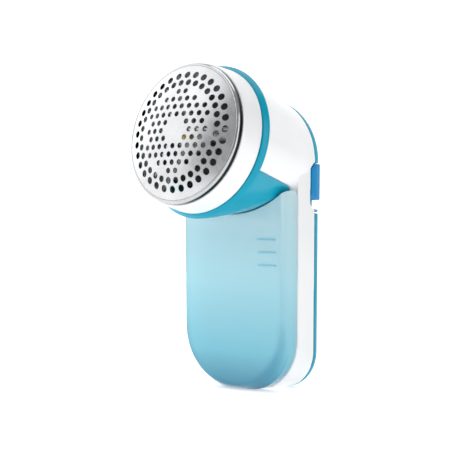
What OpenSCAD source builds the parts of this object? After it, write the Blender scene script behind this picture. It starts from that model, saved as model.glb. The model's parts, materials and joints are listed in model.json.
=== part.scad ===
// Fabric shaver: a tilted round shaving head over a lint container, with a
// slide switch at the back and two AA cells in the handle.
// Millimetres. +Z runs up the handle and -Y is the side the head faces.
// The origin is the middle of the flat foot under the handle.

/* [Handle] */
// Width of the handle across its sides
handle_width = 54; // [53.5:0.5:55]
// How much narrower each side is at the bottom
side_taper = 0.8; // [0.4:0.1:1.2]
// Height of the centre of the round top of the handle
top_centre = 94.5; // [94:0.5:95]
// Corner radius of the bottom at the front of the handle
front_corner = 21; // [19:0.5:22]
// Corner radius of the bottom of the container face
face_corner = 24.5; // [24:0.5:25]
// Corner radius of the bottom at the back of the handle
back_corner = 16; // [15.5:0.5:18]
// Wall thickness of the white shell and the back cover
wall = 1.8; // [1.6:0.1:2]
// Depth of the rounded back behind the middle plane
crown_depth = 14; // [13.8:0.1:14.4]

/* [Shaving head] */
// Upward tilt of the shaving head in degrees
head_tilt = 10.9; // [10:0.1:12]
// Height of the centre of the foil rim
head_height = 104.3; // [104:0.1:105]
// Reach of the foil rim centre in front of the middle plane
head_reach = 45.4; // [45:0.1:46]
// Outside radius of the silver foil rim
foil_radius = 28.6; // [28.4:0.1:28.8]
// Rise of the domed foil above its rim
dome_rise = 5.4; // [4.8:0.1:5.6]
// Diameter of the large holes in the two outer rings
large_hole = 2.8; // [2.4:0.1:2.9]
// Diameter of the small holes in the middle field
small_hole = 2.2; // [1.8:0.1:2.3]
// Distance between neighbouring small holes
hole_pitch = 3.7; // [3.6:0.05:3.9]

/* [Lint container] */
// Distance of the container face in front of the middle plane
container_front = 15.9; // [15.6:0.1:16.2]
// Wall thickness of the clear container
container_wall = 1.5; // [1.2:0.1:1.7]
// Radius of the hollow arc along the container top
arc_radius = 44.5; // [44:0.5:45.5]

/* [Switch] */
// Height of the button along the handle
button_height = 14.9; // [14:0.1:15]
// Distance the button slides down
switch_travel = 3.5; // [2.5:0.1:3.5]

/* [Cells] */
// Diameter of one cell
cell_diameter = 14.2; // [13.8:0.1:14.4]
// Length of one cell with its button
cell_length = 50.5; // [50:0.1:50.6]

/* [Hidden] */

// Gap between parts that move past each other
gap = 0.35;
// Gap between parts fixed to each other and round turning shafts
fit = 0.05;
// Thickness of the slabs that hulls are stretched between
thin = 0.1;
// Size of boxes that cut everything on one side
far = 200;

white = [0.95, 0.96, 0.97];
teal = [0.0, 0.56, 0.72];
blue = [0.0, 0.45, 0.74];
clear_blue = [0.62, 0.83, 0.89];
silver = [0.78, 0.79, 0.81];
steel = [0.62, 0.63, 0.65];
grey = [0.35, 0.37, 0.4];
brass = [0.8, 0.65, 0.32];

half = handle_width / 2;
low_half = half - side_taper;
// Where the container meets the white shell, and the shell the back cover
shell_front = -5.3;
shell_back = 5.75;
edge_back = 8.4;
front_wall = 1.6;
// Front edge of the shell behind the coloured trim ring
shell_start = 15.15;
trim_radius = 31.6;
// Sphere of the domed foil
foil_thickness = 0.35;
dome_radius = (foil_radius * foil_radius + dome_rise * dome_rise) / (2 * dome_rise);
dome_centre = dome_rise - dome_radius;
screen_radius = foil_radius - 1.35;
// Side seam of the head above the neck and the container
seam_corner = 7;
seam_height = 77.2;
seam_slope = 0.24;
seam_run = 60;
// Hollow arc between neck and container
arc_height = 73.2 + arc_radius;
arc_tilt = 7.4;
// Bulkhead in front of the motor
plate_front = 27.5;
plate_thickness = 1.6;
motor_front = plate_front + plate_thickness + fit;
motor_radius = 10;
can_length = 22;
roof_height = 84;
shaft_radius = 1;
seal_radius = 3;
// Button and its recess
button_low = 78.3;
button_high = button_low + button_height;
button_edge = 3.1;
button_chamfer = 2.2;
button_proud = 0.6;
recess_depth = 2.2;
recess_wall = 3.8;
door_top = 72.9;
// Cells and their contacts
cell_radius = cell_diameter / 2;
cell_x = 7.6;
cell_y = 4.4;
bridge_top = 12.85;
plate_low = 67.2;
left_cell_low = plate_low - fit - cell_length;
right_cell_high = bridge_top + fit + cell_length;
cell_nub = 1.3;
screw_x = 21;
screw_z = 100;

// Flat outline of the handle seen from the front, shrunk by inset
module outline(inset, corner, lift) {
  r = max(0.5, corner - inset);
  hull() {
    for (side = [-1, 1])
      translate([side * (low_half - inset - r), inset + lift + r]) circle(r = r, $fn = 72);
    translate([0, top_centre]) circle(r = half - inset, $fn = 120);
  }
}

// The outline as a plate between two depths
module slab(front, back, inset, corner, lift = 0) {
  translate([0, back, 0]) rotate([90, 0, 0])
    linear_extrude(height = back - front) outline(inset, corner, lift);
}

// Handle behind the container with its rounded back, shrunk by inset
module rear_solid(inset, front = shell_front) {
  hull() {
    slab(front, front + thin, inset, front_corner);
    slab(shell_back, shell_back + thin, inset, back_corner);
    slab(edge_back - inset / 2 - thin, edge_back - inset / 2, inset + 0.5, back_corner);
    slab(10.3 - inset, 10.4 - inset, inset + 2.4, back_corner);
    slab(12.6 - inset, 12.7 - inset, inset + 6.6, back_corner);
    slab(crown_depth - inset - thin, crown_depth - inset, inset + 12, back_corner);
  }
}

// Moves a piece into the frame of the head: +Z points out of the foil
module in_head() {
  translate([0, -head_reach, head_height]) rotate([90 - head_tilt, 0, 0]) children();
}

// Round tube or disc about the head axis between two depths behind the rim
module head_disc(front, back, outer, inner = 0) {
  translate([0, 0, -back]) difference() {
    cylinder(r = outer, h = back - front, $fn = 128);
    if (inner > 0) translate([0, 0, -1]) cylinder(r = inner, h = back - front + 2, $fn = 128);
  }
}

// Head housing from the trim ring to the round top of the handle
module flare(inset, start = shell_start) {
  hull() {
    in_head() head_disc(start, shell_start + thin, trim_radius - 0.4 - inset);
    translate([0, shell_back - 0.4, top_centre]) rotate([90, 0, 0])
      cylinder(r = half - inset - 0.03, h = shell_back - shell_front - 0.8, $fn = 128);
  }
}

// Everything in front of the shell and below the side seam
module front_zone(shrink) {
  r = seam_corner - shrink;
  y = shell_front - seam_corner;
  translate([-far / 2, 0, 0]) rotate([90, 0, 90]) linear_extrude(height = far) hull() {
    for (step = [0, 1]) {
      translate([y - step * seam_run, seam_height + step * seam_run * seam_slope])
        circle(r = r, $fn = 64);
      translate([y - step * seam_run, -30]) circle(r = r, $fn = 64);
    }
  }
}

// Long cylinder whose lower side is the arc between neck and container
module arc_cylinder(radius) {
  translate([0, -container_front, arc_height]) rotate([90 + arc_tilt, 0, 0])
    cylinder(r = radius, h = far, center = true, $fn = 150);
}

// Box given by its two opposite corners
module block(low, high) {
  translate(low) cube(high - low);
}

module foil_screen() {
  color(silver) in_head() difference() {
    intersection() {
      difference() {
        translate([0, 0, dome_centre]) sphere(r = dome_radius, $fn = 200);
        translate([0, 0, dome_centre])
          sphere(r = dome_radius - foil_thickness, $fn = 200);
      }
      translate([0, 0, -2]) cylinder(r = screen_radius, h = 20, $fn = 128);
    }
    foil_holes();
  }
}

module foil_holes() {
  holes = 32;
  ring_radii = [23.2, 19.85];
  field = 16.7;
  for (ring = [0, 1]) for (k = [0 : holes - 1])
    rotate([0, 0, (k + ring / 2) * 360 / holes]) translate([ring_radii[ring], 0, -3])
      cylinder(d = large_hole - ring * 0.2, h = 12, $fn = 24);
  for (row = [-5 : 5]) for (k = [-5 : 5]) {
    x = (k + (row % 2 == 0 ? 0 : 0.5)) * hole_pitch;
    y = row * hole_pitch * sqrt(3) / 2;
    if (norm([x, y]) < field && norm([x, y]) > hole_pitch * 1.1)
      translate([x, y, -3]) cylinder(d = small_hole, h = 12, $fn = 24);
  }
}

module foil_rim() {
  lip = screen_radius - 1.6;
  color(silver) in_head() rotate_extrude($fn = 128)
    polygon([[lip, -1.6], [lip, -0.5], [screen_radius + fit, -0.5],
             [screen_radius + fit, 0.55], [foil_radius - 0.5, 0.35],
             [foil_radius, -0.15], [foil_radius, -2.2], [screen_radius, -2.2],
             [screen_radius, -1.6]]);
}

module head_ring() {
  r = foil_radius;
  color(white) in_head() {
    rotate_extrude($fn = 128)
      polygon([[r - 1.3, -2.25], [r + 0.3, -2.25], [r + 0.6, -2.65], [r + 1, -7],
               [r + 1.5, -11.9], [r + 1.2, -12.35], [r - 0.8, -12.35],
               [r - 0.8, -17], [r - 2.3, -17], [r - 2.3, -9], [r - 1.3, -8]]);
    for (k = [0 : 2]) rotate([0, 0, 90 + k * 120])
      block([r - 0.9, -3, -17], [r - 0.05, 3, -15.6]);
  }
}

module trim_ring() {
  color(teal) in_head() difference() {
    rotate_extrude($fn = 128)
      polygon([[28.2, -12.7], [30.3, -12.7], [trim_radius, -14.4],
               [trim_radius, -15.1], [28.2, -15.1]]);
    for (k = [0 : 2]) rotate([0, 0, 112 + k * 120])
      block([27, -3.4, -16], [29.2, 3.4, -12]);
  }
}

module head_neck() {
  color(teal) difference() {
    intersection() {
      flare(0);
      front_zone(fit);
      arc_cylinder(arc_radius);
    }
    intersection() {
      flare(wall, shell_start - 0.5);
      arc_cylinder(arc_radius - wall);
    }
    chute_hole();
  }
}

// Way for the lint from the neck down into the container
module chute_hole() {
  block([-18, -container_front + 1.8, 60], [18, shell_front - 2, roof_height - 4]);
}

module bulkhead() {
  color(grey) difference() {
    intersection() {
      union() {
        intersection() {
          in_head() head_disc(plate_front, plate_front + plate_thickness, 45);
          block([-far, -far, roof_height + fit], [far, far, far]);
        }
        block([-far, -21.4, roof_height + fit], [far, -3, roof_height + fit + 1.6]);
      }
      flare(wall + fit);
    }
    in_head() head_disc(plate_front - 2, motor_front + 1, seal_radius + fit);
    in_head() for (side = [-1, 1]) translate([side * 6.5, 0, 0])
      head_disc(plate_front - 2, motor_front + 1, 1.05);
  }
}

module shaft_seal() {
  color(grey) in_head()
    head_disc(plate_front, plate_front + plate_thickness, seal_radius, shaft_radius + fit);
}

module drive_shaft() {
  color(steel) in_head() head_disc(4, motor_front + 2, shaft_radius);
}

module blade_carrier() {
  color(white) in_head() difference() {
    union() {
      head_disc(3.5, 12, 5);
      for (k = [0 : 2]) rotate([0, 0, k * 120]) block([3, -2.4, -6], [24.2, 2.4, -3.7]);
    }
    head_disc(3, 13, shaft_radius + 0.02);
  }
}

module cutter_blades() {
  color(steel) in_head() intersection() {
    for (k = [0 : 2]) rotate([0, 0, k * 120]) block([5.2, -0.4, -3.68], [24.2, 0.4, 8]);
    translate([0, 0, dome_centre])
      sphere(r = dome_radius - foil_thickness - gap, $fn = 200);
  }
}

module hub_cap() {
  color(brass) in_head() difference() {
    head_disc(1.8, 3.48, 2.6);
    head_disc(2.6, 5, shaft_radius + 0.02);
  }
}

module motor_can() {
  color(steel) in_head() difference() {
    head_disc(motor_front, motor_front + can_length, motor_radius);
    head_disc(motor_front - 1, motor_front + 3, shaft_radius + fit);
    for (side = [-1, 1]) translate([0, side * motor_radius * 1.85, -motor_front - 11])
      cube([far, motor_radius * 2, 30], center = true);
  }
}

module motor_endcap() {
  back = motor_front + can_length;
  color(white) in_head() difference() {
    head_disc(back + 0.02, back + 2.6, motor_radius - 0.4);
    for (side = [-1, 1]) translate([0, side * motor_radius * 1.8, -back])
      cube([far, motor_radius * 2, 30], center = true);
  }
}

module motor_terminals() {
  back = motor_front + can_length + 2.62;
  color(brass) in_head() for (side = [-1, 1])
    block([side * 5 - 1, -0.2, -back - 1.4], [side * 5 + 1, 0.2, -back]);
}

module motor_screws() {
  color(steel) in_head() for (side = [-1, 1]) translate([side * 6.5, 0, 0]) {
    head_disc(plate_front - 1.3, plate_front - 0.02, 1.9);
    head_disc(plate_front - 0.5, motor_front - 0.02, 1);
  }
}

module motor_cradle() {
  front = motor_front + 7;
  length = 6;
  color(grey) intersection() {
    in_head() difference() {
      union() {
        head_disc(front, front + length, motor_radius + 1.6);
        block([-30, -2, -front - length], [30, 2, -front]);
      }
      head_disc(front - 1, front + length + 1, motor_radius + fit);
    }
    flare(wall + fit);
    block([-far, -far, roof_height + 2], [far, far, far]);
  }
}

// Recess that the button slides in, as a side profile across the handle
module button_profile(grow, drop) {
  y = button_edge - grow;
  low = button_low - grow - drop;
  high = button_high + grow;
  c = button_chamfer;
  translate([-far / 2, 0, 0]) rotate([90, 0, 90]) linear_extrude(height = far)
    polygon([[y, low + c], [y + c, low], [40, low], [40, high], [y + c, high],
             [y, high - c]]);
}

module button_recess() {
  intersection() {
    difference() {
      rear_solid(-2);
      rear_solid(recess_depth);
    }
    button_profile(0.3, switch_travel);
  }
}

// Thick shell wall beside the recess, between two depths
module recess_back(front, back) {
  intersection() {
    difference() {
      rear_solid(0.2);
      rear_solid(recess_wall);
    }
    block([-far, front, door_top + 0.35], [far, back, button_high + 1.8]);
  }
}

module main_shell() {
  color(white) difference() {
    union() {
      difference() {
        union() {
          rear_solid(0, shell_front - 0.2);
          flare(0);
        }
        rear_solid(wall, shell_front + front_wall - 0.3);
        flare(wall, shell_start - 0.5);
      }
      intersection() {
        slab(shell_front - 0.2, shell_front + front_wall, 0.5, front_corner);
        block([-far, -far, 0], [far, far, roof_height]);
      }
      recess_back(button_edge - 2.2, shell_back);
      for (side = [-1, 1]) shell_boss(side);
    }
    block([-far, shell_back, -far], [far, far, far]);
    front_zone(0);
    button_recess();
    container_grooves();
    for (side = [-1, 1]) translate([side * screw_x, 0, screw_z]) rotate([-90, 0, 0])
      cylinder(r = 1.25, h = 20, $fn = 32);
  }
}

// Boss on the side wall that takes a housing screw
module shell_boss(side) {
  intersection() {
    translate([side * screw_x, -1.5, screw_z]) rotate([-90, 0, 0])
      cylinder(r = 3.6, h = 9, $fn = 48);
    rear_solid(0.4);
  }
}

module container_grooves() {
  for (side = [-1, 1])
    block([side * 12 - 1.35, shell_front - 1, -5], [side * 12 + 1.35, shell_front + 0.9, 72]);
}

module rear_cover() {
  color(teal) difference() {
    union() {
      intersection() {
        difference() {
          rear_solid(0);
          rear_solid(recess_wall);
          cover_cavity();
        }
        block([-far, shell_back + 0.1, door_top + 0.35], [far, far, far]);
      }
      for (side = [-1, 1]) cover_boss(side);
    }
    button_recess();
    stem_slot();
    for (side = [-1, 1]) translate([side * screw_x, 0, screw_z]) rotate([-90, 0, 0]) {
      cylinder(r = 1.25, h = 20, $fn = 32);
      translate([0, 0, edge_back]) cylinder(r = 2.4, h = 20, $fn = 48);
    }
  }
}

// Room behind the thin part of the back cover above the recess
module cover_cavity() {
  intersection() {
    rear_solid(wall);
    block([-far, -far, button_high + 1.8], [far, far, far]);
  }
}

module cover_boss(side) {
  intersection() {
    translate([side * screw_x, shell_back + 0.1, screw_z]) rotate([-90, 0, 0])
      cylinder(r = 3.6, h = 9, $fn = 48);
    rear_solid(0.4);
  }
}

module stem_slot() {
  block([-1.85, 5, button_low + 1.1 - switch_travel - gap],
        [1.85, 20, button_low + 3.6 + gap]);
}

module battery_door() {
  color(teal) {
    intersection() {
      difference() {
        rear_solid(0);
        rear_solid(wall);
      }
      block([-far, shell_back + gap, 0.4], [far, far, door_top]);
    }
    for (side = [-1, 1]) door_rail(side);
    for (k = [0 : 3]) translate([0, crown_depth - 0.2, 60 + k * 2.6]) rotate([0, 90, 0])
      cylinder(r = 0.6, h = 16 - k * 2, center = true, $fn = 24);
  }
}

// Rail inside the edge of the door that keeps it straight on the shell
module door_rail(side) {
  block([min(side * 23, side * 25.2), 6.2, 24], [max(side * 23, side * 25.2), 7.2, 66]);
}

module switch_button() {
  color(blue) intersection() {
    difference() {
      rear_solid(-button_proud);
      rear_solid(recess_depth - 0.3);
    }
    button_profile(0, 0);
  }
}

module switch_carriage() {
  color(grey) {
    block([-1.5, 8.6, button_low + 1.1],
          [1.5, crown_depth - recess_depth + 0.28, button_low + 3.6]);
    block([-3, 8.2, button_low + 0.7], [3, 9.6, button_low + 4]);
  }
}

module switch_body() {
  color(grey) difference() {
    block([-6, 1.5, 71.5], [6, 7.8, 82.6]);
    block([-2, 6.4, 73.5], [2, 9, 81.6]);
  }
}

module switch_board() {
  color([0.1, 0.4, 0.2]) block([-11, 0.3, 70.6], [11, 1.48, 83.2]);
}

module battery_tray() {
  color(grey) {
    block([-16.4, -2.7, bridge_top - 1.9], [16.4, 9.4, bridge_top - 0.5]);
    block([-16.4, -2.7, plate_low + 0.45], [16.4, 9.4, plate_low + 1.9]);
    for (side = [-1, 1])
      block([min(side * 15.1, side * 16.4), -2.7, bridge_top - 0.6],
            [max(side * 15.1, side * 16.4), 3, plate_low + 0.6]);
  }
}

// One cell standing at its own place, its button up or down
module cell(x, low, up) {
  translate([x, cell_y, low + (up ? 0 : cell_length)]) rotate([up ? 0 : 180, 0, 0]) {
    cylinder(r = cell_radius, h = cell_length - cell_nub, $fn = 96);
    cylinder(r = 2.75, h = cell_length, $fn = 48);
  }
}

module battery_left() {
  color(blue) cell(-cell_x, left_cell_low, true);
}

module battery_right() {
  color(blue) cell(cell_x, right_cell_high - cell_length, false);
}

// Coil drawn as rings that grow towards the contact plate
module coil(x, base, height, up) {
  wire = 0.45;
  rings = 5;
  pitch = (height - 2 * wire) / (rings - 1);
  for (k = [0 : rings - 1])
    translate([x, cell_y, base + (up ? 1 : -1) * (wire + k * pitch)])
      rotate_extrude($fn = 64) translate([4.4 - k * 0.35, 0]) circle(r = wire, $fn = 24);
}

module contact_springs() {
  color(steel) {
    coil(-cell_x, bridge_top, left_cell_low - bridge_top - 0.02, true);
    coil(cell_x, plate_low, plate_low - right_cell_high - 0.02, false);
  }
}

module bridge_plate() {
  color(silver) block([-14, cell_y - 4, bridge_top - 0.45], [14, cell_y + 4, bridge_top]);
}

module contact_plates() {
  color(silver) for (side = [-1, 1])
    block([side * cell_x - 5.4, cell_y - 4.6, plate_low],
          [side * cell_x + 5.4, cell_y + 4.6, plate_low + 0.4]);
}

// Round wire through a row of points
module wire(points) {
  for (k = [0 : len(points) - 2]) {
    step = points[k + 1] - points[k];
    translate(points[k]) {
      sphere(r = 0.6, $fn = 64);
      rotate([0, acos(step[2] / norm(step)), atan2(step[1], step[0])])
        cylinder(r = 0.6, h = norm(step), $fn = 64);
    }
  }
}

module wire_red() {
  color([0.75, 0.08, 0.06]) wire([[13.6, 9, 93], [13.6, 2, 90], [13, -0.6, 84], [9, -0.6, 78]]);
}

module wire_black() {
  color([0.06, 0.06, 0.07]) wire([[-13.6, 9, 93], [-13.6, 2, 90], [-13, -0.6, 84],
                                  [-9, -0.6, 78]]);
}

module housing_screws() {
  color(steel) for (side = [-1, 1]) translate([side * screw_x, 0, screw_z])
    rotate([-90, 0, 0]) {
      translate([0, 0, 0.5]) cylinder(r = 1.2, h = edge_back, $fn = 32);
      difference() {
        translate([0, 0, edge_back + 0.02]) cylinder(r = 2.2, h = 1.5, $fn = 48);
        for (turn = [0, 90]) rotate([0, 0, turn]) translate([0, 0, edge_back + 1.6])
          cube([2.6, 0.6, 1.4], center = true);
      }
    }
}

// Container block in front of the shell, shrunk by inset
module container_solid(inset, back) {
  f = -container_front + inset;
  hull() {
    slab(f, f + thin, inset + 0.9, face_corner, 2);
    slab(f + 0.45, f + 0.55, inset + 0.3, face_corner, 1.7);
    slab(f + 1.5, f + 1.6, inset + 0.05, face_corner, 1.2);
    slab(f + 5.5, back, inset, front_corner);
  }
}

module lint_container() {
  color(clear_blue, 0.55) {
    difference() {
      intersection() {
        container_solid(0.15, shell_front - gap);
        front_zone(gap);
      }
      arc_cylinder(arc_radius + gap);
      container_solid(0.15 + container_wall, shell_front - gap - 1.3);
    }
    for (side = [-1, 1])
      block([side * 12 - 1, shell_front - gap - 0.6, 12],
            [side * 12 + 1, shell_front + 0.5, 70]);
  }
}

module fill_marks() {
  face = -container_front + 0.15;
  color(white) for (k = [0 : 2])
    block([13.9, face - 0.25, 51.4 + k * 5.2], [23, face - 0.01, 52 + k * 5.2]);
}

foil_screen();
foil_rim();
head_ring();
trim_ring();
head_neck();
bulkhead();
shaft_seal();
drive_shaft();
blade_carrier();
cutter_blades();
hub_cap();
motor_can();
motor_endcap();
motor_terminals();
motor_screws();
motor_cradle();
main_shell();
rear_cover();
battery_door();
switch_button();
switch_carriage();
switch_body();
switch_board();
battery_tray();
battery_left();
battery_right();
contact_springs();
bridge_plate();
contact_plates();
wire_red();
wire_black();
housing_screws();
lint_container();
fill_marks();
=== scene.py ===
import json
import math

import bmesh
import bpy
from mathutils import Matrix, Vector


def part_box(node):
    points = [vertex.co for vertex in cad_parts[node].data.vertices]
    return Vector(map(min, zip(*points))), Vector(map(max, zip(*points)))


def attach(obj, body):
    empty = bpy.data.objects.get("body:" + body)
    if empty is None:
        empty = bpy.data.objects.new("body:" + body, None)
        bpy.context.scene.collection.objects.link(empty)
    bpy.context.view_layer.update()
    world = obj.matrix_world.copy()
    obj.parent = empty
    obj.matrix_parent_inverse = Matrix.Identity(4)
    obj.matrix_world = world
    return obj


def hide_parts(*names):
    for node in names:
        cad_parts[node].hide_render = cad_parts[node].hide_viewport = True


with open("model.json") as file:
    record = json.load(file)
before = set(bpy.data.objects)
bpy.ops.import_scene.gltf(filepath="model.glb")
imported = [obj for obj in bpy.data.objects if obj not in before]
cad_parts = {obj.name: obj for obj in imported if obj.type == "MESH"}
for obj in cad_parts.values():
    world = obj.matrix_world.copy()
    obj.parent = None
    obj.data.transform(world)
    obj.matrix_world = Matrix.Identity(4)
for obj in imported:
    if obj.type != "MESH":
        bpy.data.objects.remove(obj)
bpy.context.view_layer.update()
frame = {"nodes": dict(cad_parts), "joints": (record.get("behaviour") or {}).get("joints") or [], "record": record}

NODES = frame["nodes"]
BODIES = frame["record"]["behaviour"]["bodies"]
JOINTS = {joint["name"]: joint for joint in frame["joints"]}
MM = 0.001
# The lint container's rounded lower corners, and half its width at the bottom
FACE_CORNER = 24.5 * MM
LOW_HALF_WIDTH = 26.2 * MM
# Width of the band of painted shade along the container's lower rim
RIM_SHADE_WIDTH = 4.5 * MM
BODY_OF = {node: body for body, members in BODIES.items() for node in members}

HEAD_AXIS = Vector(JOINTS["blade_spin"]["axis"])
HEAD_CENTRE = Vector(JOINTS["blade_spin"]["pos_m"])


# ---------------------------------------------------------------- materials

class Nodes:
    """A material's node tree with short calls for adding and joining nodes."""

    def __init__(self, name):
        self.material = bpy.data.materials.new(name)
        self.material.use_nodes = True
        self.tree = self.material.node_tree
        self.tree.nodes.clear()
        out = self.tree.nodes.new("ShaderNodeOutputMaterial")
        self.shader = self.tree.nodes.new("ShaderNodeBsdfPrincipled")
        self.join(self.shader.outputs["BSDF"], out.inputs["Surface"])
        self.where = self.tree.nodes.new("ShaderNodeTexCoord").outputs["Object"]

    def join(self, start, end):
        self.tree.links.new(start, end)

    def set(self, **values):
        for key, value in values.items():
            self.shader.inputs[key.replace("_", " ")].default_value = value
        return self

    def stretched(self, scale):
        mapping = self.tree.nodes.new("ShaderNodeMapping")
        mapping.inputs["Scale"].default_value = scale
        self.join(self.where, mapping.inputs["Vector"])
        return mapping.outputs["Vector"]

    def noise(self, scale, detail=3.0, rough=0.55, stretch=None):
        node = self.tree.nodes.new("ShaderNodeTexNoise")
        node.inputs["Scale"].default_value = scale
        node.inputs["Detail"].default_value = detail
        node.inputs["Roughness"].default_value = rough
        self.join(self.stretched(stretch) if stretch else self.where, node.inputs["Vector"])
        return node.outputs["Fac"]

    def ramp(self, value, stops):
        node = self.tree.nodes.new("ShaderNodeValToRGB")
        ramp = node.color_ramp
        while len(ramp.elements) < len(stops):
            ramp.elements.new(0.5)
        for element, (place, colour) in zip(ramp.elements, stops):
            element.position = place
            element.color = (*colour, 1.0) if len(colour) == 3 else colour
        self.join(value, node.inputs["Fac"])
        return node.outputs["Color"]

    def span(self, value, low, high, to_low, to_high):
        node = self.tree.nodes.new("ShaderNodeMapRange")
        for key, number in zip(("From Min", "From Max", "To Min", "To Max"),
                               (low, high, to_low, to_high)):
            node.inputs[key].default_value = number
        self.join(value, node.inputs["Value"])
        return node.outputs["Result"]

    def axis(self, name):
        node = self.tree.nodes.new("ShaderNodeSeparateXYZ")
        self.join(self.where, node.inputs["Vector"])
        return node.outputs[name]

    def mix(self, factor, first, second):
        node = self.tree.nodes.new("ShaderNodeMix")
        node.data_type = "RGBA"
        self.join(factor, node.inputs["Factor"])
        for socket, value in (("A", first), ("B", second)):
            sockets = [s for s in node.inputs if s.name == socket and s.type == "RGBA"]
            if isinstance(value, tuple):
                sockets[0].default_value = (*value, 1.0)
            else:
                self.join(value, sockets[0])
        return [s for s in node.outputs if s.type == "RGBA"][0]

    def math(self, kind, first, second):
        node = self.tree.nodes.new("ShaderNodeMath")
        node.operation = kind
        for socket, value in zip(node.inputs, (first, second)):
            if isinstance(value, (int, float)):
                socket.default_value = value
            else:
                self.join(value, socket)
        return node.outputs["Value"]

    def painted_rim_shade(self, low_z, front_y):
        """Painted shade mask: 0 inside the container's face, up to 1 at the rounded corners of its lower rim."""
        out = self.math("SUBTRACT", self.math("ABSOLUTE", self.axis("X"), 0.0),
                        LOW_HALF_WIDTH - FACE_CORNER)
        out = self.math("MAXIMUM", out, 0.0)
        down = self.math("SUBTRACT", low_z + FACE_CORNER, self.axis("Z"))
        down = self.math("MAXIMUM", down, 0.0)
        reach = self.math("SQRT", self.math("ADD", self.math("MULTIPLY", out, out),
                                            self.math("MULTIPLY", down, down)), 0.0)
        rim = self.span(reach, FACE_CORNER - RIM_SHADE_WIDTH, FACE_CORNER, 0.0, 1.0)
        fade = self.span(self.axis("Z"), low_z + 8 * MM, low_z + 30 * MM, 1.0, 0.08)
        face = self.span(self.axis("Y"), front_y + 1 * MM, front_y + 4 * MM, 1.0, 0.1)
        painted_rim_band = self.math("MULTIPLY", self.math("POWER", rim, 1.5), fade)
        return self.math("MULTIPLY", painted_rim_band, face)

    def bump(self, height, strength, distance, before=None):
        node = self.tree.nodes.new("ShaderNodeBump")
        node.inputs["Strength"].default_value = strength
        node.inputs["Distance"].default_value = distance
        self.join(height, node.inputs["Height"])
        if before:
            self.join(before, node.inputs["Normal"])
        return node.outputs["Normal"]

    def rough(self, value, low, high):
        self.join(self.span(value, 0.3, 0.7, low, high), self.shader.inputs["Roughness"])
        return self

    def colour(self, value):
        self.join(value, self.shader.inputs["Base Color"])
        return self

    def normal(self, value):
        self.join(value, self.shader.inputs["Normal"])
        return self


def worn(tree, base, tint):
    """The base colour with slow clouding and lighter rubbed edges."""
    cloud = tree.ramp(tree.noise(26, 4), [(0.3, base), (0.7, tint)])
    edge = tree.tree.nodes.new("ShaderNodeNewGeometry").outputs["Pointiness"]
    rubbed = tree.span(edge, 0.52, 0.6, 0.0, 0.35)
    lighter = tuple(min(1.0, c * 0.82 + 0.18) for c in tint)
    return tree.mix(rubbed, cloud, lighter)


def gloss_plastic(name, base, tint, low=0.12, high=0.24, coat=0.35, shine=0.5):
    tree = Nodes(name).set(IOR=1.5, Coat_Weight=coat, Coat_Roughness=0.06,
                           Specular_IOR_Level=shine)
    tree.colour(worn(tree, base, tint))
    tree.rough(tree.noise(90, 5), low, high)
    fine = tree.bump(tree.noise(2600, 2), 0.05, 0.00003)
    tree.normal(tree.bump(tree.noise(45, 2), 0.12, 0.0002, fine))
    return tree.material


def matte_plastic(name, base, tint):
    tree = Nodes(name).set(IOR=1.48)
    tree.colour(worn(tree, base, tint))
    tree.rough(tree.noise(300, 4), 0.42, 0.62)
    tree.normal(tree.bump(tree.noise(1800, 3), 0.35, 0.00005))
    return tree.material


def metal(name, base, tint, low, high, brush=(1, 1, 1), scratch=0.15):
    tree = Nodes(name).set(Metallic=1.0)
    tree.colour(tree.ramp(tree.noise(60, 5), [(0.35, base), (0.7, tint)]))
    tree.rough(tree.noise(160, 5, 0.7, brush), low, high)
    tree.normal(tree.bump(tree.noise(700, 4, 0.7, brush), scratch, 0.00002))
    return tree.material


def clear_plastic(name, node):
    """Tinted clear plastic, with painted shade deepening it towards the bottom and along the rounded lower rim,
    and painted light paling it towards the top.
    """
    low_z, high_z = (corner.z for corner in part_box(node))
    front_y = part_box(node)[0].y
    tree = Nodes(name).set(IOR=1.4, Transmission_Weight=0.42, Coat_Weight=0.4,
                           Coat_Roughness=0.04)
    # Painted shade and light: the blue tint runs from deep at the bottom to near white at the top
    height = tree.span(tree.axis("Z"), low_z, high_z, 0.0, 1.0)
    tone = tree.ramp(height, [(0.0, (0.0, 0.17, 0.33)), (0.045, (0.02, 0.36, 0.54)),
                              (0.2, (0.22, 0.70, 0.86)), (0.55, (0.50, 0.87, 0.97)),
                              (1.0, (0.74, 0.95, 1.0))])
    # Painted shade: the rounded lower rim is darkened towards deep blue
    shaded_tone = tree.mix(tree.painted_rim_shade(low_z, front_y), tone, (0.0, 0.25, 0.42))
    cloud = tree.span(tree.noise(18, 2), 0.3, 0.7, 0.0, 0.12)
    tree.colour(tree.mix(cloud, shaded_tone, (0.62, 0.86, 0.93)))
    tree.rough(tree.noise(70, 5), 0.08, 0.2)
    tree.normal(tree.bump(tree.noise(30, 2), 0.12, 0.0003))
    return tree.material


def rim_metal_painted_dark_side(name, base, tint):
    """Polished metal, with painted shade: its side, where it drops into the ring, is painted near black."""
    tree = Nodes(name).set(Metallic=1.0)
    offset = tree.tree.nodes.new("ShaderNodeVectorMath")
    offset.operation = "SUBTRACT"
    tree.join(tree.where, offset.inputs[0])
    offset.inputs[1].default_value = HEAD_CENTRE
    along = tree.tree.nodes.new("ShaderNodeVectorMath")
    along.operation = "DOT_PRODUCT"
    tree.join(offset.outputs["Vector"], along.inputs[0])
    along.inputs[1].default_value = HEAD_AXIS
    face = tree.ramp(tree.noise(60, 5), [(0.35, base), (0.7, tint)])
    # Painted shade and dark reflection: the rim's side, below its face, is painted near black
    side = tree.span(along.outputs["Value"], -0.0003, -0.0006, 0.0, 1.0)
    tree.colour(tree.mix(side, face, (0.012, 0.013, 0.015)))
    tree.rough(tree.noise(160, 5, 0.7), 0.1, 0.22)
    tree.normal(tree.bump(tree.noise(700, 4, 0.7), 0.12, 0.00002))
    return tree.material


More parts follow.
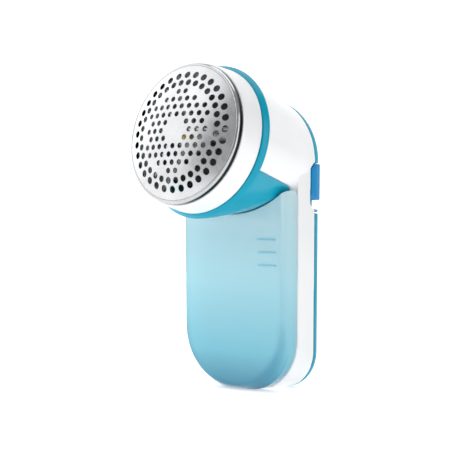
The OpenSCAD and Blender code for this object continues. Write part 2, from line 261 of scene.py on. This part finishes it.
def rubber(name):
    tree = Nodes(name).set(IOR=1.5)
    tree.colour(tree.ramp(tree.noise(500), [(0.3, (0.02, 0.02, 0.022)), (0.8, (0.05, 0.05, 0.05))]))
    tree.rough(tree.noise(900, 4), 0.55, 0.75)
    tree.normal(tree.bump(tree.noise(2500), 0.3, 0.00004))
    return tree.material


def cell_sleeve(name):
    """A plain printed sleeve: one dark band and one coloured band."""
    low, high = (corner.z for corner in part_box("battery_left"))
    tree = Nodes(name).set(Metallic=0.35, Coat_Weight=0.4)
    band = tree.span(tree.axis("Z"), low, high, 0.0, 1.0)
    tone = tree.ramp(band, [(0.0, (0.03, 0.03, 0.035)), (0.66, (0.035, 0.035, 0.04)),
                            (0.68, (0.55, 0.36, 0.1)), (1.0, (0.6, 0.4, 0.12))])
    tree.colour(tone)
    tree.rough(tree.noise(220, 4), 0.2, 0.34)
    tree.normal(tree.bump(tree.noise(900), 0.1, 0.00003))
    return tree.material


WHITE = gloss_plastic("white_gloss", (0.74, 0.755, 0.77), (0.79, 0.80, 0.81))
TEAL = gloss_plastic("teal_gloss", (0.0, 0.27, 0.40), (0.0, 0.31, 0.44), 0.16, 0.28, 0.0, 0.22)
BUTTON = gloss_plastic("button_blue", (0.0, 0.19, 0.44), (0.0, 0.22, 0.48), 0.24, 0.38, 0.0, 0.22)
CLEAR = clear_plastic("clear_blue", "lint_container")
INNER = matte_plastic("inner_grey", (0.09, 0.095, 0.105), (0.13, 0.135, 0.145))
MARKS = matte_plastic("mark_print", (0.10, 0.42, 0.57), (0.14, 0.48, 0.63))
FOIL = metal("foil_metal", (0.50, 0.51, 0.52), (0.60, 0.61, 0.62), 0.22, 0.36, (1, 6, 1), 0.2)
RIM = rim_metal_painted_dark_side("rim_metal_painted_dark_side", (0.42, 0.43, 0.44), (0.5, 0.5, 0.51))
STEEL = metal("steel", (0.4, 0.4, 0.41), (0.5, 0.5, 0.51), 0.22, 0.4, (1, 1, 8), 0.3)
BRASS = metal("brass", (0.6, 0.42, 0.16), (0.7, 0.5, 0.22), 0.2, 0.36)
MOTOR = metal("motor_metal", (0.45, 0.46, 0.47), (0.55, 0.56, 0.57), 0.25, 0.45, (1, 1, 5))
BOARD = matte_plastic("board_green", (0.01, 0.12, 0.04), (0.02, 0.16, 0.06))
RED = matte_plastic("red_sleeve", (0.5, 0.02, 0.015), (0.58, 0.04, 0.03))
BLACK = matte_plastic("black_sleeve", (0.015, 0.015, 0.018), (0.03, 0.03, 0.035))
RUBBER = rubber("seal_rubber")
SLEEVE = cell_sleeve("cell_sleeve")

FINISH = {
    "foil_metal": FOIL, "white_plastic": WHITE, "teal_plastic": TEAL,
    "button_plastic": BUTTON, "clear_plastic": CLEAR, "mark_print": MARKS,
    "inner_plastic": INNER, "steel": STEEL, "brass": BRASS, "motor_metal": MOTOR,
    "cell_jacket": SLEEVE, "board": BOARD, "seal_rubber": RUBBER, "red_wire": RED,
    "black_wire": BLACK,
}
SLOT_OF = {part["node"]: part["material_slot"] for part in frame["record"]["subparts"]}


# ------------------------------------------------------------------- pieces

def dress(obj, material):
    obj.data.materials.clear()
    obj.data.materials.append(material)


def keep_cad(name):
    """The CAD node itself, with a new finish."""
    dress(NODES[name], FINISH[SLOT_OF[name]])


def welded_copy(name):
    """A copy of a CAD node's mesh with its split points joined again."""
    mesh = NODES[name].data.copy()
    shape = bmesh.new()
    shape.from_mesh(mesh)
    bmesh.ops.remove_doubles(shape, verts=shape.verts, dist=2e-6)
    shape.to_mesh(mesh)
    shape.free()
    mesh.name = "fine_" + name
    obj = bpy.data.objects.new("fine_" + name, mesh)
    bpy.context.scene.collection.objects.link(obj)
    return obj


def stand_for(obj, name, material=None):
    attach(obj, BODY_OF[name])
    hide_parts(name)
    dress(obj, material or FINISH[SLOT_OF[name]])
    return obj


def moulded(name, voxel, rounds):
    """A moulded piece: the CAD solid with its facets eased and every edge rounded."""
    obj = welded_copy(name)
    remesh = obj.modifiers.new("even", "REMESH")
    remesh.mode = "VOXEL"
    remesh.voxel_size = voxel * MM
    remesh.use_smooth_shade = True
    smooth = obj.modifiers.new("ease", "SMOOTH")
    smooth.factor = 0.5
    smooth.iterations = rounds
    return stand_for(obj, name)


def head_radius(point):
    offset = point - HEAD_CENTRE
    return (offset - HEAD_AXIS * offset.dot(HEAD_AXIS)).length


def pressed_foil():
    """The pierced foil, shaded with the true dome's normals; the hole walls keep their flat face normals."""
    obj = welded_copy("foil_screen")
    mesh = obj.data
    low = min((v.co - HEAD_CENTRE).dot(HEAD_AXIS) for v in mesh.vertices)
    high = max((v.co - HEAD_CENTRE).dot(HEAD_AXIS) for v in mesh.vertices)
    edge = max(head_radius(v.co) for v in mesh.vertices)
    rim = max((v.co - HEAD_CENTRE).dot(HEAD_AXIS) for v in mesh.vertices
              if head_radius(v.co) > edge - 0.1 * MM)
    rise = high - rim
    dome = (edge * edge + rise * rise) / (2 * rise)
    centre = HEAD_CENTRE + HEAD_AXIS * (high - dome)
    normals = []
    for face in mesh.polygons:
        face.use_smooth = True
        out = (face.center - centre).normalized()
        side = face.normal.dot(out)
        for loop in face.loop_indices:
            point = mesh.vertices[mesh.loops[loop].vertex_index].co
            radial = (point - centre).normalized()
            normals.append(radial * (1 if side > 0 else -1) if abs(side) > 0.9 else face.normal)
    mesh.normals_split_custom_set(normals)
    return stand_for(obj, "foil_screen", FOIL)


def turned(name, material=None):
    """A turned ring: the CAD solid with its edges bevelled and shaded smooth."""
    obj = welded_copy(name)
    for face in obj.data.polygons:
        face.use_smooth = True
    bevel = obj.modifiers.new("edge", "BEVEL")
    bevel.width = 0.22 * MM
    bevel.segments = 3
    bevel.limit_method = "ANGLE"
    bevel.angle_limit = math.radians(28)
    bevel.harden_normals = True
    return stand_for(obj, name, material)


# Node, remesh size in mm, smoothing rounds
MOULDED = (
    ("main_shell", 0.42, 6), ("rear_cover", 0.4, 5), ("battery_door", 0.42, 5),
    ("head_neck", 0.4, 5), ("switch_button", 0.3, 4), ("lint_container", 0.35, 3),
)

pressed_foil()
for node, voxel, rounds in MOULDED:
    moulded(node, voxel, rounds)
turned("foil_rim", RIM)
turned("head_ring")
turned("trim_ring")

for node in NODES:
    if not NODES[node].hide_render:
        keep_cad(node)


# ------------------------------------------------------------------- studio

def plane_material():
    tree = Nodes("studio_floor").set(Specular_IOR_Level=0.1, Emission_Strength=0.5)
    tree.shader.inputs["Emission Color"].default_value = (1, 1, 1, 1)
    tree.colour(tree.ramp(tree.noise(3, 2), [(0.3, (0.93, 0.93, 0.93)), (0.7, (0.95, 0.95, 0.95))]))
    tree.rough(tree.noise(8), 0.8, 0.9)
    return tree.material


def studio_floor():
    """A pale floor that curves up into a backdrop behind the object."""
    mesh = bpy.data.meshes.new("studio_floor")
    shape = bmesh.new()
    near, bend, sweep, top, half_width = -1.6, 0.9, 0.5, 2.6, 3.0
    steps = 12
    profile = [(near, 0.0), (bend, 0.0)]
    for step in range(1, steps + 1):
        angle = math.radians(step * 90 / steps)
        profile.append((bend + sweep * math.sin(angle), sweep - sweep * math.cos(angle)))
    profile.append((bend + sweep, top))
    turn = Matrix.Rotation(math.radians(40.5), 3, "Z")
    rows = []
    for x in (-half_width, half_width):
        rows.append([shape.verts.new(turn @ Vector((x, y, z))) for y, z in profile])
    for k in range(len(profile) - 1):
        shape.faces.new((rows[0][k], rows[0][k + 1], rows[1][k + 1], rows[1][k])).smooth = True
    bmesh.ops.recalc_face_normals(shape, faces=shape.faces)
    shape.to_mesh(mesh)
    shape.free()
    obj = bpy.data.objects.new("studio_floor", mesh)
    bpy.context.scene.collection.objects.link(obj)
    obj.data.materials.append(plane_material())


def area(name, place, target, size, power):
    light = bpy.data.lights.new(name, "AREA")
    light.shape = "RECTANGLE"
    light.size, light.size_y = size
    light.energy = power
    obj = bpy.data.objects.new(name, light)
    bpy.context.scene.collection.objects.link(obj)
    obj.location = place
    obj.rotation_euler = (Vector(target) - Vector(place)).to_track_quat("-Z", "Y").to_euler()


def studio():
    studio_floor()
    world = bpy.data.worlds.new("studio")
    bpy.context.scene.world = world
    world.use_nodes = True
    back = world.node_tree.nodes["Background"]
    back.inputs["Color"].default_value = (1, 1, 1, 1)
    back.inputs["Strength"].default_value = 0.42
    centre = (0, -0.01, 0.07)
    area("key", (-0.95, -0.6, 0.75), centre, (1.6, 1.6), 10)
    area("side", (0.75, -0.35, 0.3), centre, (0.35, 0.7), 1.6)
    area("top", (0.0, 0.1, 0.95), centre, (0.7, 0.7), 3)
    bpy.context.scene.view_settings.view_transform = "Standard"
    bpy.context.scene.view_settings.look = "None"


studio()

# The photograph's view: a long lens level with the middle of the shaver
AZIMUTH = math.radians(40.47)
VIEW_TARGET = Vector((0.0, -0.020, 0.068))
VIEW_DISTANCE = 0.512
LENS, SENSOR = 100, 36

camera_data = bpy.data.cameras.new("camera")
camera_data.lens = LENS
camera_data.sensor_width = SENSOR
camera_data.clip_start = 0.01
camera = bpy.data.objects.new("camera", camera_data)
bpy.context.scene.collection.objects.link(camera)
bpy.context.scene.camera = camera
back = Vector((math.sin(AZIMUTH), -math.cos(AZIMUTH), 0.0))
camera.location = VIEW_TARGET + back * VIEW_DISTANCE
camera.rotation_euler = (math.radians(90), 0.0, AZIMUTH)

bpy.context.view_layer.update()
